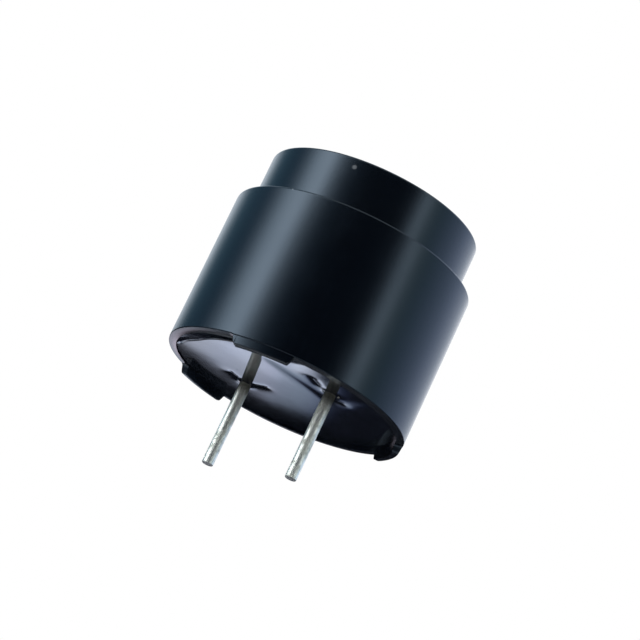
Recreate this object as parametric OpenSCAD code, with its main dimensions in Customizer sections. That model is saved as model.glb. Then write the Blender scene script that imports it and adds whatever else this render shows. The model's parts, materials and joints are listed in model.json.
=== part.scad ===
// Round magnetic buzzer for a circuit board, internally driven.
// Millimetres, +Z up towards the sound port.
// The origin is on the axis, in the plane that the three stand-off feet stand on.
// The two pins are on the X axis and point down, along -Z.

/* [Case] */
// Outer diameter of the wide lower barrel
body_d = 16; // [14:0.5:20]
// Outer diameter of the narrower upper barrel
cap_d = 14.1; // [12.5:0.1:14.5]
// Height from the feet to the top face
total_h = 14.1; // [13.5:0.1:16]
// Height from the feet to the shoulder between the barrels
shoulder_h = 10.7; // [10.5:0.1:11]
// Wall at the open mouth, where the potting is poured
mouth_wall = 0.55; // [0.4:0.05:0.7]
// Wall beside the magnet
barrel_wall = 0.85; // [0.8:0.05:1]
// Wall of the sound chamber and of the top
chamber_wall = 0.8; // [0.6:0.05:1]
// Diameter of the sound port in the top
port_d = 2.6; // [1.5:0.1:4]

/* [Feet] */
// Number of stand-off feet on the rim
foot_count = 3; // [3:1:4]
// Height of the feet below the rim
foot_h = 0.5; // [0.2:0.05:0.6]
// Arc that each foot takes of the rim, in degrees
foot_arc = 30; // [15:1:45]
// Direction of the first foot, in degrees from +X
foot_start = 61; // [50:1:70]
// How far the feet stand in from the barrel's face
foot_inset = 0.02; // [0.02:0.02:0.2]

/* [Pins] */
// Distance between the pins' centres
pin_pitch = 7.6; // [6.5:0.1:8]
// Diameter of the round pins
pin_d = 0.75; // [0.5:0.05:0.8]
// How far the pins reach below the feet
pin_reach = 5; // [3:0.1:8]
// Diameter of the pins' collar under the board
collar_d = 1.3; // [1:0.1:1.6]
// Width of each pin's flattened ears, which lock it in the potting
ear_w = 1.2; // [0.9:0.1:1.5]
// Thickness of the flattened ears
ear_t = 0.36; // [0.3:0.02:0.44]
// Direction of the ears, in degrees from +X
ear_turn = 50; // [0:5:90]

/* [Magnet circuit] */
// Outer diameter of the ring magnet
magnet_d = 13.2; // [12:0.1:13.6]
// Hole of the ring magnet
magnet_bore_d = 9.2; // [8.8:0.1:9.6]
// Height of the ring magnet
magnet_h = 3.6; // [3:0.1:3.8]
// Thickness of the steel yoke plate
yoke_t = 1; // [0.8:0.1:1]
// Diameter of the pole core
core_d = 3.2; // [2.8:0.1:3.4]
// Air gap between the pole core and the diaphragm
air_gap = 0.3; // [0.2:0.05:0.4]

/* [Diaphragm] */
// Diameter of the diaphragm
diaphragm_d = 13; // [12:0.1:13.2]
// Thickness of the diaphragm
diaphragm_t = 0.1; // [0.05:0.01:0.15]
// Diameter of the armature disc on the diaphragm
armature_d = 6; // [4:0.5:7]
// Thickness of the armature disc
armature_t = 0.4; // [0.2:0.1:0.6]

/* [Coil] */
// Outer diameter of the bobbin's flanges
flange_d = 8.6; // [8:0.1:8.6]
// Thickness of the bobbin's flanges and tube
bobbin_wall = 0.35; // [0.25:0.05:0.4]
// Radial depth of the drive winding
drive_depth = 1.4; // [1:0.1:1.4]
// Radial depth of the feedback winding
feedback_depth = 0.5; // [0.3:0.1:0.5]
// Diameter of the enamelled wire leads
wire_d = 0.2; // [0.1:0.02:0.24]

/* [Circuit board] */
// Thickness of the circuit board
board_t = 0.8; // [0.6:0.1:0.8]
// Height of the board's underside above the feet
board_z = 2.3; // [2.1:0.1:2.4]
// Room between the board and the yoke plate
board_gap = 1.2; // [1.2:0.05:1.4]
// Height of the potting's face above the rim
potting_recess = 0.35; // [0.2:0.05:0.6]
// Radius of the wetted fillet of the potting at the case wall
wall_wetting = 0.3; // [0.1:0.05:0.35]
// Radius of the wetted fillet of the potting round each pin
pin_wetting = 0.45; // [0.2:0.05:0.5]

/* [Hidden] */

$fn = 96;
eps = 0.01;

// Case levels and radii
rim_z = foot_h;
body_r = body_d / 2;
cap_r = cap_d / 2;
mouth_r = body_r - mouth_wall;
bore_r = body_r - barrel_wall;
chamber_r = cap_r - chamber_wall;
chamber_top_z = total_h - chamber_wall;
stop_z = shoulder_h - chamber_wall;
board_top_z = board_z + board_t;
rim_round = 0.1;
shoulder_round = 0.15;
shoulder_fillet = 0.12;
top_round = 0.15;
port_round = 0.15;

// Magnet circuit levels, stacked up from the board
yoke_z = board_top_z + board_gap;
magnet_z = yoke_z + yoke_t;
magnet_top_z = magnet_z + magnet_h;
yoke_r = bore_r - 0.05;
slot_w = 2.6;
slot_in_r = 3.4;
slot_out_r = 4.5;

// Diaphragm levels
ring_r = bore_r - 0.03;
ring_bore_r = 5.8;
seat_depth = 0.35;
seat_z = stop_z - seat_depth;
seat_clearance = 0.06;
collar_drop = 0.8;
ring_edge = 0.08;
core_top_z = seat_z - air_gap;
core_chamfer = 0.15;

// Coil levels and radii
tube_in_r = core_d / 2 + 0.03;
tube_out_r = tube_in_r + bobbin_wall;
bobbin_top_z = magnet_top_z - 0.2;
winding_z = magnet_z + bobbin_wall;
winding_h = bobbin_top_z - bobbin_wall - winding_z;
drive_r = tube_out_r + drive_depth;
feedback_r = drive_r + feedback_depth;
wire_r = wire_d / 2;

// Leads: fanned out through the yoke's slot, then on to their holes in the board
lead_run_r = feedback_r + wire_r + 0.01;
lead_spread = 14;
lead_hole_at_r = 5.4;
lead_hole_r = 0.2;
lead_hole_top_z = board_top_z + 0.3;
lead_end_z = board_z - 0.25;
lead_bend_z = yoke_z - 0.25;
lead_pad_r = 0.4;
lead_pad_h = 0.15;

// Board, pins and solder
board_r = mouth_r - 0.05;
pin_r = pin_d / 2;
pin_hole_r = pin_r + 0.1;
pin_top_z = board_top_z + 0.55;
pin_chamfer = 0.08;
collar_h = 0.3;
solder_r = 0.85;
solder_h = 0.42;
insulator_in_r = 6.35;

// Potting, and the pins' ears just above its open face
potting_z = rim_z + potting_recess;
ear_z = potting_z + 0.08;
ear_h = 0.5;
ear_top_z = ear_z + ear_h;

// Surface-mounted components on the board's upper face: place, size and stand-off
transistor_at = [-2.8, -3.3];
transistor_size = [2.9, 1.3, 0.95];
leg_w = 0.42;
leg_t = 0.12;
leg_out = 0.52;
leg_pitch = 1.9;
resistor_at = [2.7, -3.3];
resistor_size = [2, 1.25, 0.5];
diode_at = [0, 1.4];
diode_size = [1.7, 1.25, 0.85];
tab_size = [0.45, 0.35, 0.12];
stand_off = 0.06;

// Outer edge cutter for a profile: leaves a quarter round of radius r at [x, z].
// side is +1 where the solid lies below the edge and -1 where it lies above.
module round_outer_edge(x, z, r, side) {
    translate([x - r, z - side * r]) difference() {
        mirror([0, side < 0 ? 1 : 0]) square(r + eps);
        circle(r);
    }
}

// Concave quarter fillet of radius r that fills the corner at [x, z].
// dir_x and dir_z point out of the corner, into the open space.
module fill_corner(x, z, r, dir_x, dir_z) {
    translate([x, z])
        mirror([dir_x < 0 ? 1 : 0, 0])
            mirror([0, dir_z < 0 ? 1 : 0])
                difference() {
                    translate([0, -eps]) square([r, r + eps]);
                    translate([r, r]) circle(r);
                }
}

// Ring or tube between two radii
module ring(r_out, r_in, z, h) {
    translate([0, 0, z]) difference() {
        cylinder(r = r_out, h = h);
        translate([0, 0, -eps]) cylinder(r = r_in, h = h + 2 * eps);
    }
}

// Round wire through points [x, z] of the XZ plane, with round elbows
module wire(points, r) {
    for (i = [0 : len(points) - 2]) {
        run = points[i + 1] - points[i];
        translate([points[i].x, 0, points[i].y]) {
            rotate([0, atan2(run.x, run.y), 0])
                cylinder(r = r, h = norm(run), $fn = 24);
            if (i > 0) sphere(r, $fn = 24);
        }
    }
}

// Turns its children to the direction of one lead; side is -1, 0 or +1
module at_lead(side) {
    rotate([0, 0, 90 + side * lead_spread]) children();
}

// Outline of the case's outside, from the axis outwards
module case_outline() {
    difference() {
        union() {
            translate([0, rim_z]) square([body_r, shoulder_h - rim_z]);
            translate([0, rim_z]) square([cap_r, total_h - rim_z]);
            fill_corner(cap_r, shoulder_h, shoulder_fillet, 1, 1);
        }
        round_outer_edge(body_r, rim_z, rim_round, -1);
        round_outer_edge(body_r, shoulder_h, shoulder_round, 1);
        round_outer_edge(cap_r, total_h, top_round, 1);
    }
}

// Outline of the hollow: mouth, magnet bore, sound chamber and port
module hollow_outline() {
    port_r = port_d / 2;
    translate([0, -1]) square([mouth_r, board_top_z + 1]);
    square([bore_r, stop_z]);
    square([chamber_r, chamber_top_z]);
    square([port_r, total_h + 1]);
    difference() {
        translate([0, total_h - port_round]) square(port_r + port_round);
        translate([port_r + port_round, total_h - port_round]) circle(port_round);
    }
}

// One stand-off foot, turned to its direction on the rim
module foot(direction) {
    foot_r = body_r - foot_inset;
    rotate([0, 0, direction - foot_arc / 2])
        rotate_extrude(angle = foot_arc)
            translate([mouth_r - mouth_wall, 0])
                square([foot_r - mouth_r + mouth_wall, rim_z + rim_round]);
}

module case() {
    color("#0d1218") difference() {
        union() {
            rotate_extrude() case_outline();
            for (i = [0 : foot_count - 1]) foot(foot_start + i * 360 / foot_count);
        }
        rotate_extrude() hollow_outline();
    }
}

module sound_diaphragm() {
    color("#b8bcc0") translate([0, 0, seat_z]) cylinder(d = diaphragm_d, h = diaphragm_t);
}

module armature_disc() {
    color("#8f959b")
        translate([0, 0, seat_z + diaphragm_t]) cylinder(d = armature_d, h = armature_t);
}

// Plastic ring with a seat for the diaphragm and a collar that centres the magnet
module diaphragm_ring() {
    seat_r = diaphragm_d / 2 + seat_clearance;
    color("#202327") rotate_extrude() difference() {
        translate([ring_bore_r, magnet_top_z - collar_drop])
            square([ring_r - ring_bore_r, stop_z - magnet_top_z + collar_drop]);
        translate([ring_bore_r - eps, magnet_top_z - collar_drop - eps])
            square([magnet_d / 2 - ring_bore_r + ring_edge, collar_drop + eps]);
        translate([ring_bore_r - eps, seat_z])
            square([seat_r - ring_bore_r + eps, seat_depth + eps]);
    }
}

module ring_magnet() {
    color("#3a3c3f") ring(magnet_d / 2, magnet_bore_d / 2, magnet_z, magnet_h);
}

// Steel plate with the core pressed into its middle and a slot for the leads
module yoke_plate() {
    color("#9aa0a6") difference() {
        ring(yoke_r, core_d / 2, yoke_z, yoke_t);
        translate([-slot_w / 2, slot_in_r, yoke_z - eps])
            cube([slot_w, slot_out_r - slot_in_r, yoke_t + 2 * eps]);
    }
}

module pole_core() {
    core_r = core_d / 2;
    straight_h = core_top_z - core_chamfer - yoke_z;
    color("#a4a9ae") translate([0, 0, yoke_z]) {
        cylinder(r = core_r, h = straight_h);
        translate([0, 0, straight_h])
            cylinder(r1 = core_r, r2 = core_r - core_chamfer, h = core_chamfer);
    }
}

// Spool with two flanges; the lower one is notched for the leads
module coil_bobbin() {
    color("#e8e4d8") {
        ring(tube_out_r, tube_in_r, magnet_z, bobbin_top_z - magnet_z);
        ring(flange_d / 2, tube_out_r - eps, bobbin_top_z - bobbin_wall, bobbin_wall);
        difference() {
            ring(flange_d / 2, tube_out_r - eps, magnet_z, bobbin_wall);
            translate([-slot_w / 2, slot_in_r, magnet_z - eps])
                cube([slot_w, slot_out_r, bobbin_wall + 2 * eps]);
        }
    }
}

module drive_winding() {
    color("#b4632c") ring(drive_r, tube_out_r, winding_z, winding_h);
}

module feedback_winding() {
    color("#c98a3a") ring(feedback_r, drive_r, winding_z, winding_h);
}

// One enamelled lead: down the winding, through the yoke, out to its hole
module coil_lead(side) {
    at_lead(side) wire([
        [lead_run_r, winding_z + winding_h / 2],
        [lead_run_r, lead_bend_z],
        [lead_hole_at_r, lead_hole_top_z],
        [lead_hole_at_r, lead_end_z]
    ], wire_r);
}

module drive_lead() { color("#b4632c") coil_lead(1); }
module common_lead() { color("#b4632c") coil_lead(0); }
module feedback_lead() { color("#c98a3a") coil_lead(-1); }

// Spacer that keeps the yoke plate off the board's components
module insulating_ring() {
    color("#d9d4c4") ring(yoke_r, insulator_in_r, board_top_z, board_gap);
}

module circuit_board() {
    color("#2f5d3a") difference() {
        translate([0, 0, board_z]) cylinder(r = board_r, h = board_t);
        for (side = [-1, 1])
            translate([side * pin_pitch / 2, 0, board_z - eps])
                cylinder(r = pin_hole_r, h = board_t + 2 * eps);
        for (side = [-1, 0, 1])
            at_lead(side) translate([lead_hole_at_r, 0, board_z - eps])
                cylinder(r = lead_hole_r, h = board_t + 2 * eps);
    }
}

module transistor() {
    color("#1b1b1d")
        translate([transistor_at.x, transistor_at.y, board_top_z + stand_off])
            translate([-transistor_size.x / 2, -transistor_size.y / 2, 0])
                cube(transistor_size);
}

// A bent leg: out of the moulding, down and flat on the board
module transistor_leg(x, side) {
    knee = transistor_size.z / 2;
    translate([transistor_at.x + x - leg_w / 2, transistor_at.y, board_top_z])
        mirror([0, side < 0 ? 1 : 0, 0])
            translate([0, transistor_size.y / 2, 0]) {
                translate([0, 0, knee]) cube([leg_w, leg_out / 2, leg_t]);
                translate([0, leg_out / 2 - leg_t, 0]) cube([leg_w, leg_t, knee + leg_t]);
                translate([0, leg_out / 2 - leg_t, 0]) cube([leg_w, leg_out / 2 + leg_t, leg_t]);
            }
}

module transistor_legs() {
    color("#c4c8cc") {
        transistor_leg(-leg_pitch / 2, -1);
        transistor_leg(leg_pitch / 2, -1);
        transistor_leg(0, 1);
    }
}

module bias_resistor() {
    color("#23262b")
        translate([resistor_at.x, resistor_at.y, board_top_z])
            translate([-resistor_size.x / 2, -resistor_size.y / 2, 0])
                cube(resistor_size);
}

module clamp_diode() {
    color("#1b1b1d") translate([diode_at.x, diode_at.y, board_top_z]) {
        translate([-diode_size.x / 2, -diode_size.y / 2, 0]) cube(diode_size);
        for (side = [-1, 1])
            translate([side * (diode_size.x + tab_size.x) / 2, 0, tab_size.z / 2])
                cube([tab_size.x + 2 * eps, tab_size.y, tab_size.z], center = true);
    }
}

// Round wire pin, flattened into two ears in the potting, with a collar under the board.
// side is -1 or +1 on the X axis.
module pin(side) {
    translate([side * pin_pitch / 2, 0, 0]) {
        translate([0, 0, -pin_reach])
            cylinder(r1 = pin_r - pin_chamfer, r2 = pin_r, h = pin_chamfer);
        translate([0, 0, -pin_reach + pin_chamfer])
            cylinder(r = pin_r, h = ear_z + pin_reach - pin_chamfer);
        rotate([0, 0, ear_turn])
            translate([-ear_w / 2, -ear_t / 2, ear_z]) cube([ear_w, ear_t, ear_h]);
        translate([0, 0, ear_top_z]) cylinder(r = pin_r, h = pin_top_z - ear_top_z);
        translate([0, 0, board_z - collar_h]) cylinder(d = collar_d, h = collar_h);
    }
}

module positive_pin() { color("#c9ccc6") pin(1); }
module negative_pin() { color("#c9ccc6") pin(-1); }

// Solder that fills the pin's hole in the board and wets up the pin
module pin_solder(side) {
    translate([side * pin_pitch / 2, 0, 0]) rotate_extrude() {
        translate([pin_r, board_z]) square([pin_hole_r - pin_r, board_t + eps]);
        difference() {
            translate([pin_r, board_top_z]) square([solder_r - pin_r, solder_h]);
            translate([solder_r + eps, board_top_z + solder_h + eps])
                circle(min(solder_r - pin_r - 0.05, solder_h - 0.05));
        }
    }
}

module positive_solder() { color("#b9bcc0") pin_solder(1); }
module negative_solder() { color("#b9bcc0") pin_solder(-1); }

// Solid cone of one lead's solder under the board
module lead_cone(side) {
    at_lead(side) translate([lead_hole_at_r, 0, board_z - lead_pad_h])
        cylinder(r1 = lead_pad_r / 2, r2 = lead_pad_r, h = lead_pad_h);
}

// Straight end of one lead, below the board's upper face
module lead_tail(side) {
    at_lead(side) translate([lead_hole_at_r, 0, lead_end_z])
        cylinder(r = wire_r, h = board_top_z - lead_end_z, $fn = 24);
}

// Solder that holds the three leads under the board
module lead_solder() {
    color("#b9bcc0") for (side = [-1, 0, 1])
        difference() {
            lead_cone(side);
            lead_tail(side);
        }
}

// Poured resin under and round the board, wetted up the wall and the pins
module potting() {
    color("#14171c") difference() {
        union() {
            rotate_extrude() {
                translate([0, potting_z]) square([mouth_r, board_z - potting_z]);
                translate([board_r, potting_z])
                    square([mouth_r - board_r, board_top_z - potting_z]);
                fill_corner(mouth_r, potting_z, wall_wetting, -1, -1);
            }
            for (side = [-1, 1])
                translate([side * pin_pitch / 2, 0, 0])
                    rotate_extrude() fill_corner(pin_r, potting_z, pin_wetting, 1, -1);
        }
        for (side = [-1, 1]) pin(side);
        for (side = [-1, 0, 1]) {
            lead_cone(side);
            lead_tail(side);
        }
    }
}

case();
sound_diaphragm();
armature_disc();
diaphragm_ring();
ring_magnet();
yoke_plate();
pole_core();
coil_bobbin();
drive_winding();
feedback_winding();
drive_lead();
common_lead();
feedback_lead();
insulating_ring();
circuit_board();
transistor();
transistor_legs();
bias_resistor();
clamp_diode();
positive_pin();
negative_pin();
positive_solder();
negative_solder();
lead_solder();
potting();
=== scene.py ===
"""Looks of a round magnetic buzzer: a moulded case, a resin-filled base and two wire pins.

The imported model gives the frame, in metres: the origin is on the axis in the plane of the
feet, +Z points to the sound port and the pins stand on the X axis and point down.
"""
import json
import logging
import math
from dataclasses import dataclass, field
from enum import Enum
from functools import cache, cached_property
from typing import Callable, ClassVar, Iterable, Mapping, Sequence, Union

import bmesh
import bpy
from bpy.types import Material, NodeSocket, Object, World
from mathutils import Matrix, Vector

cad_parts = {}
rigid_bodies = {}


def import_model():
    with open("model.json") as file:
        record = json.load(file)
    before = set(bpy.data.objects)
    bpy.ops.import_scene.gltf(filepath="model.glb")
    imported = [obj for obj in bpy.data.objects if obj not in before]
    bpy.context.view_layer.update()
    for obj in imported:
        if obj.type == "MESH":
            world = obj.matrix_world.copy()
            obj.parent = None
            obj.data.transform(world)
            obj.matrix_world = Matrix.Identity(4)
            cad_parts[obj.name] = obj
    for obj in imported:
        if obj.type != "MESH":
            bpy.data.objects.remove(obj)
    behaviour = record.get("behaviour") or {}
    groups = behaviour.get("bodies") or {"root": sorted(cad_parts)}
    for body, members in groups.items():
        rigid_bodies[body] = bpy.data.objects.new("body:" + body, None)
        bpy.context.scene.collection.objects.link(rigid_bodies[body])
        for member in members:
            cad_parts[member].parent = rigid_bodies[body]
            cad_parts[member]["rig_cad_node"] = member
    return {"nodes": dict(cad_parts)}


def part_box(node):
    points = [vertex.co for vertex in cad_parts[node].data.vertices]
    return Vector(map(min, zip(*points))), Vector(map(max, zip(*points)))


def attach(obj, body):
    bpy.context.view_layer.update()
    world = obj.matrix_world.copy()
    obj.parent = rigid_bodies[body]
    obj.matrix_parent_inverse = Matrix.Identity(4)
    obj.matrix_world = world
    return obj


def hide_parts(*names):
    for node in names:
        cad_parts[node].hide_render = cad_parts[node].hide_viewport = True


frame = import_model()

LOG = logging.getLogger("buzzer")
MM = 0.001
ROOT = "root"
HARD_EDGE = math.radians(38.0)
WELD = 1e-8
WHITE = (1.0, 1.0, 1.0)

Colour = tuple[float, float, float]
Point2 = tuple[float, float]
Point3 = tuple[float, float, float]
Shape = tuple[list[Point3], list[tuple[int, ...]]]
Outline = Callable[[float], Sequence[Point2]]
Key = Union[str, int]


# ---------------- shader expressions


class Signal:
    """A socket's output that can be used in Python arithmetic."""

    def __init__(self, graph: "Graph", socket: NodeSocket) -> None:
        """Keeps the socket and the graph that its Math nodes are added to."""
        self.graph = graph
        self.socket = socket

    def _math(self, operation: str, *operands: "Value") -> "Signal":
        """The result of a new Math node that has these inputs, in order."""
        return self.graph.node("ShaderNodeMath", {"operation": operation}, dict(enumerate(operands)))

    def __add__(self, other: "Value") -> "Signal":
        """self + other."""
        return self._math("ADD", self, other)

    def __radd__(self, other: "Value") -> "Signal":
        """other + self."""
        return self._math("ADD", other, self)

    def __sub__(self, other: "Value") -> "Signal":
        """self - other."""
        return self._math("SUBTRACT", self, other)

    def __rsub__(self, other: "Value") -> "Signal":
        """other - self."""
        return self._math("SUBTRACT", other, self)

    def __mul__(self, other: "Value") -> "Signal":
        """self * other."""
        return self._math("MULTIPLY", self, other)

    def __rmul__(self, other: "Value") -> "Signal":
        """other * self."""
        return self._math("MULTIPLY", other, self)

    def sine(self) -> "Signal":
        """The sine of an angle in radians."""
        return self._math("SINE", self)

    def above(self, low: float, high: float) -> "Signal":
        """A smooth step of this value.

        Args:
            low: where the step begins to leave 0.
            high: where it reaches 1.

        Returns:
            The step, from 0 to 1.
        """
        settings = {"interpolation_type": "SMOOTHSTEP", "clamp": True}
        sockets = {"Value": self, "From Min": low, "From Max": high}
        return self.graph.node("ShaderNodeMapRange", settings, sockets)

    def between(self, low: float, high: float) -> "Signal":
        """Stretches a value from 0 to 1 over low to high."""
        return low + self * (high - low)


Value = Union[Signal, float, int]


class Graph:
    """The node tree of one material, or of the world."""

    MIX_FIRST: ClassVar[int] = 6
    MIX_SECOND: ClassVar[int] = 7
    MIX_RESULT: ClassVar[int] = 2

    def __init__(self, owner: Material | World) -> None:
        """Takes a new material or world and empties its tree."""
        self.owner = owner
        owner.use_nodes = True
        self.tree = owner.node_tree
        self.tree.nodes.clear()

    @classmethod
    def of_material(cls, name: str) -> "Graph":
        """The graph of a new material, whose name ends in _finish, apart from the frame's own."""
        return cls(bpy.data.materials.new(f"{name}_finish"))

    def node(
        self,
        kind: str,
        settings: Mapping[str, object] | None = None,
        sockets: Mapping[Key, object] | None = None,
        output: Key = 0,
    ) -> Signal:
        """Adds a node.

        Args:
            kind: the node's type.
            settings: its properties, set before its sockets; "stops" fills a colour ramp.
            sockets: values or signals for its inputs, by name or number.
            output: the output that is wanted.

        Returns:
            That output, or the first input of a node that has no output.
        """
        made = self.tree.nodes.new(kind)
        for key, value in (settings or {}).items():
            if key == "stops":
                self._fill_ramp(made.color_ramp, value)
            else:
                setattr(made, key, value)
        for key, value in (sockets or {}).items():
            socket = made.inputs[key]
            if isinstance(value, Signal):
                self.tree.links.new(value.socket, socket)
            else:
                socket.default_value = (*value, 1.0) if socket.type == "RGBA" else value
        return Signal(self, made.outputs[output] if made.outputs else made.inputs[0])

    @staticmethod
    def _fill_ramp(ramp: bpy.types.ColorRamp, stops: Sequence[tuple[float, Colour]]) -> None:
        """Gives a ramp its stops.

        Args:
            ramp: the ramp, which has two stops at first.
            stops: pairs of place and colour, in rising order.
        """
        while len(ramp.elements) < len(stops):
            ramp.elements.new(1.0)
        for element, (place, colour) in zip(ramp.elements, stops):
            element.position = place
            element.color = (*colour, 1.0)

    def sibling(self, signal: Signal, output: str) -> Signal:
        """Another output of the node that a signal comes from."""
        return Signal(self, signal.socket.node.outputs[output])

    @cached_property
    def place(self) -> Signal:
        """The point on the object, in millimetres of the frame."""
        return self.scaled(self.node("ShaderNodeTexCoord", output="Object"), 1.0 / MM)

    def axes(self, vector: Signal) -> tuple[Signal, Signal, Signal]:
        """A vector's three parts."""
        split = self.node("ShaderNodeSeparateXYZ", sockets={0: vector})
        return split, self.sibling(split, "Y"), self.sibling(split, "Z")

    def product(self, first: object, second: object) -> Signal:
        """Two vectors or colours multiplied part by part."""
        return self.node("ShaderNodeVectorMath", {"operation": "MULTIPLY"}, {0: first, 1: second})

    def scaled(self, vector: Signal, by: float) -> Signal:
        """A vector or colour multiplied by one number."""
        return self.node("ShaderNodeVectorMath", {"operation": "SCALE"}, {0: vector, "Scale": by})

    def noise(self, per_mm: float, octaves: float, rough: float, stretch: Point3 | None = None) -> Signal:
        """Soft noise from 0 to 1 over the object.

        Args:
            per_mm: how many cells there are in a millimetre.
            octaves: how many octaves are added.
            rough: how strong the finer octaves are.
            stretch: what the place is multiplied by first, part by part.

        Returns:
            The noise value.
        """
        place = self.product(self.place, stretch) if stretch else self.place
        sockets = {"Vector": place, "Scale": per_mm, "Detail": octaves, "Roughness": rough}
        return self.node("ShaderNodeTexNoise", {"noise_dimensions": "3D"}, sockets)

    def specks(self, per_mm: float, radius: float, share: float) -> Signal:
        """Small round specks over the object, as of dust or tiny bubbles.

        Args:
            per_mm: how many cells there are in a millimetre.
            radius: the specks' radius, in cells.
            share: the part of the cells that has one.

        Returns:
            1 on a speck and 0 elsewhere.
        """
        sockets = {"Vector": self.place, "Scale": per_mm}
        cells = self.node("ShaderNodeTexVoronoi", {"feature": "F1"}, sockets, "Distance")
        lot = self.axes(self.sibling(cells, "Color"))[0]
        return lot.above(1.0 - share, 1.0 - share + 0.01) * (1.0 - cells.above(radius * 0.5, radius))

    def blend(self, share: Value, first: object, second: object) -> Signal:
        """Mixes two colours.

        Args:
            share: how much of the second is taken.
            first: the colour at 0.
            second: the colour at 1.

        Returns:
            The mixed colour.
        """
        sockets = {0: share, self.MIX_FIRST: first, self.MIX_SECOND: second}
        return self.node("ShaderNodeMix", {"data_type": "RGBA"}, sockets, self.MIX_RESULT)

    def bump(self, height: Signal, depth_mm: float) -> Signal:
        """A normal that follows a height from 0 to 1, where 1 stands depth_mm high."""
        sockets = {"Height": height, "Distance": depth_mm * MM, "Strength": 1.0}
        return self.node("ShaderNodeBump", sockets=sockets)

    def surface(self, **sockets: object) -> Material:
        """Closes the material with a Principled shader; its inputs' names have _ for each space."""
        plain = {key.replace("_", " "): value for key, value in sockets.items()}
        return self.output(self.node("ShaderNodeBsdfPrincipled", sockets=plain))

    def output(self, shader: Signal) -> Material:
        """Joins a shader to the material's output and gives the material."""
        self.node("ShaderNodeOutputMaterial", sockets={"Surface": shader})
        return self.owner


def times(colour: Colour, by: float) -> Colour:
    """A colour made darker or lighter."""
    return tuple(by * part for part in colour)


# ---------------- finishes


@dataclass(frozen=True)
class MouldedPlastic:
    """Glossy moulded plastic with a faint grain, rubbed patches, dust and sometimes one large fleck."""

    name: str
    body: Colour
    worn: Colour
    sheen: Colour
    roughness: float
    grain_mm: float
    fleck: Point3 | None = None
    fleck_r: float = 0.19
    fleck_share: float = 0.6
    dust: Colour = (0.2, 0.21, 0.22)

    def _dusty(self, graph: Graph) -> Signal:
        """How much dust lies on the object.

        Args:
            graph: the material's graph.

        Returns:
            The share of dust, with the large fleck.
        """
        dust = graph.specks(per_mm=1.3, radius=0.06, share=0.05)
        if self.fleck is None:
            return dust
        # The fleck is one pale round spot on the upper barrel's top edge, painted in the dust colour.
        x, y, z = (axis - middle for axis, middle in zip(graph.axes(graph.place), self.fleck))
        away = (x * x + y * y + z * z) * (1.0 / self.fleck_r**2)
        return dust + (1.0 - away.above(0.0, 1.0)) * self.fleck_share

    def build(self) -> Material:
        """Makes the material."""
        graph = Graph.of_material(self.name)
        cloud = graph.noise(per_mm=0.45, octaves=4.0, rough=0.6)
        fine = graph.noise(per_mm=9.0, octaves=3.0, rough=0.55)
        drawn = graph.noise(per_mm=1.0, octaves=2.0, rough=0.5, stretch=(5.0, 5.0, 0.35))
        dust = self._dusty(graph)
        rub = (cloud * 0.6 + drawn * 0.4).above(0.45, 0.75)
        return graph.surface(
            Base_Color=graph.blend(dust, graph.blend(rub, self.body, self.worn), self.dust),
            Roughness=rub.between(self.roughness * 0.95, self.roughness * 1.06) + fine * 0.015,
            Normal=graph.bump(fine * 0.7 + drawn * 0.08 + dust * 0.5, self.grain_mm),
            IOR=1.52,
            Specular_Tint=self.sheen,
        )


@dataclass(frozen=True)
class PouredResin:
    """Glossy cast resin that levelled itself, with tiny bubbles."""

    name: str
    body: Colour
    sheen: Colour
    roughness: float
    haze: float = 2.2
    swell_mm: float = 0.008

    def build(self) -> Material:
        """Makes the material."""
        graph = Graph.of_material(self.name)
        flow = graph.noise(per_mm=0.28, octaves=2.0, rough=0.4)
        haze = graph.noise(per_mm=1.6, octaves=4.0, rough=0.6)
        pits = graph.specks(per_mm=1.1, radius=0.07, share=0.12)
        return graph.surface(
            Base_Color=graph.blend(haze.above(0.4, 0.8), self.body, times(self.body, self.haze)),
            Roughness=haze.between(self.roughness * 0.8, self.roughness * 1.5) + pits * 0.1,
            Normal=graph.bump(flow + haze * 0.06 - pits * 0.25, self.swell_mm),
            IOR=1.56,
            Specular_Tint=self.sheen,
        )


@dataclass(frozen=True)
class TinnedWire:
    """Drawn wire with a dipped tin coat, dull in places, darkened by painted shade near its root and cut
    at its end.
    """

    name: str
    bright: Colour
    dull: Colour
    cut: Colour
    root_shade: Colour
    tip_z: float
    root_shade_from: float
    root_shade_to: float
    roughness: float
    root_shade_share: float = 0.85
    draw_mm: float = 0.004

    def build(self) -> Material:
        """Makes the material."""
        graph = Graph.of_material(self.name)
        height = graph.axes(graph.place)[2]
        drawn = graph.noise(per_mm=1.0, octaves=3.0, rough=0.6, stretch=(9.0, 9.0, 0.5))
        patch = graph.noise(per_mm=1.7, octaves=3.0, rough=0.6).above(0.42, 0.68)
        fine = graph.noise(per_mm=14.0, octaves=2.0, rough=0.5)
        ring = 1.0 - (height - self.tip_z).above(0.02, 0.09)
        # Painted shade: the pin darkens over about its last millimetre below the resin and up into it, so
        # its reflection in the resin is dark too.
        root_shaded = (height + fine * 0.5).above(self.root_shade_from, self.root_shade_to) * self.root_shade_share
        colour = graph.blend(root_shaded, graph.blend(patch, self.bright, self.dull), self.root_shade)
        return graph.surface(
            Base_Color=graph.blend(ring, colour, self.cut),
            Roughness=patch.between(self.roughness, self.roughness * 1.7) + ring * 0.12,
            Metallic=0.92,
            Normal=graph.bump(drawn * 0.7 + fine * 0.3, self.draw_mm),
        )


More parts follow.
